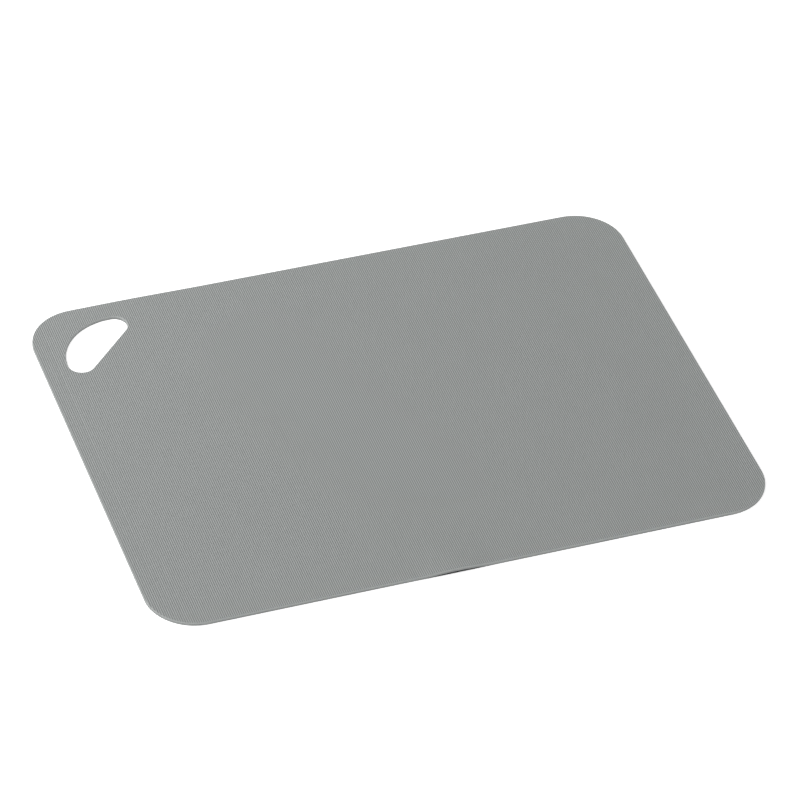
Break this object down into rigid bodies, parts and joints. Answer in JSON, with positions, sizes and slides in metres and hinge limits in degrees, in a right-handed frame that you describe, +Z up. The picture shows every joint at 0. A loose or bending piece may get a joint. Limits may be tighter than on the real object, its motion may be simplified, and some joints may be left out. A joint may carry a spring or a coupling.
{
  "type": "flexible cutting mat",
  "caption": "Thin flexible kitchen cutting mat with rounded corners, rolled edges, a fine raised cutting face, a bonded grip backing and a D-shaped hanging hole in a corner.",
  "frame": {"origin": "middle of the underside, on the surface that the mat lies on", "axes": "+X along the long sides, away from the corner with the hanging hole; +Y along the short sides, towards the long side beside the hole; +Z up, out of the cutting face"},
  "size_m": [0.38, 0.29, 0.002],
  "materials": {
    "cutting_layer": "grey thermoplastic polyurethane, calendered and embossed with fine ribs, dull satin",
    "grip_backing": "slightly paler grey soft thermoplastic elastomer, fine matt grain"
  },
  "bodies": {
    "root": {"cutting_layer": "cutting_layer", "grip_backing": "grip_backing"}
  },
  "joints": []
}
